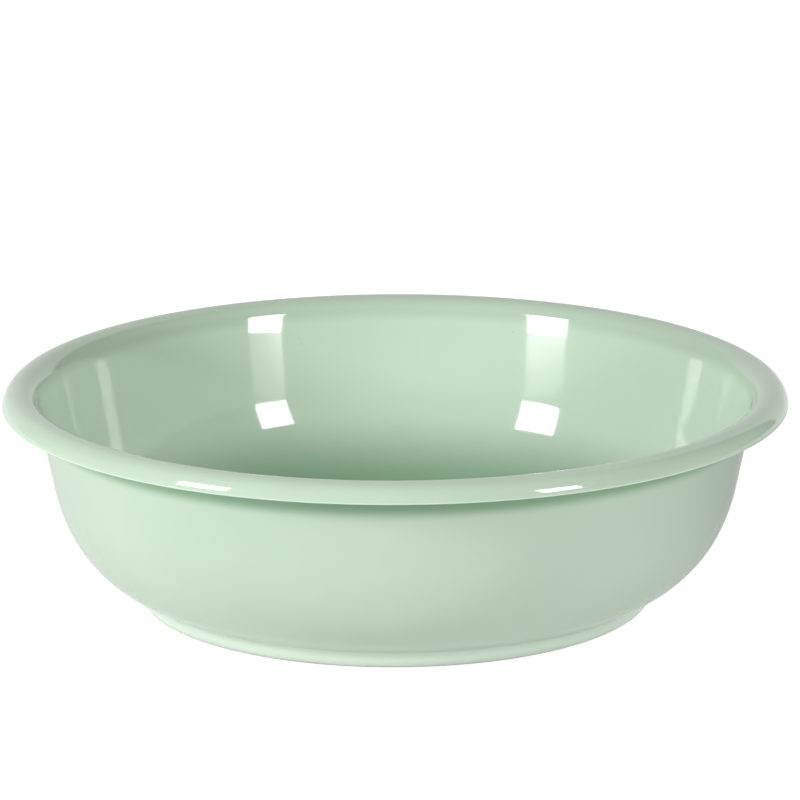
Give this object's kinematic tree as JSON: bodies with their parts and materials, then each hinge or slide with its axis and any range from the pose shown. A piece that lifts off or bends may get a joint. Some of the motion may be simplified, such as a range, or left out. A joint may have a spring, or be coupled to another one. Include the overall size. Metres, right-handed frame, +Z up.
{
  "type": "hand basin",
  "caption": "Round enamelled steel hand basin with an open half-round rolled rim, a leaning wall turned into a flat floor, and a low welded foot ring.",
  "frame": {"origin": "centre of the foot's standing face", "axes": "+Z up along the basin's axis; X and Y lie across the rim, and the picture looks along +Y"},
  "size_m": [0.36, 0.36, 0.1016],
  "materials": {
    "sheet_steel": "pickled cold-rolled sheet, hidden under the coats",
    "green_enamel": "glossy fired vitreous enamel, mint green",
    "ground_coat_enamel": "dark fired ground coat, satin"
  },
  "bodies": {
    "root": {"bowl_pressing": "sheet_steel", "foot_ring": "sheet_steel", "foot_weld": "sheet_steel", "inside_enamel": "green_enamel", "outside_enamel": "green_enamel", "rim_edge_enamel": "green_enamel", "foot_enamel": "green_enamel", "base_enamel": "green_enamel", "foot_ground_coat": "ground_coat_enamel"}
  },
  "joints": []
}
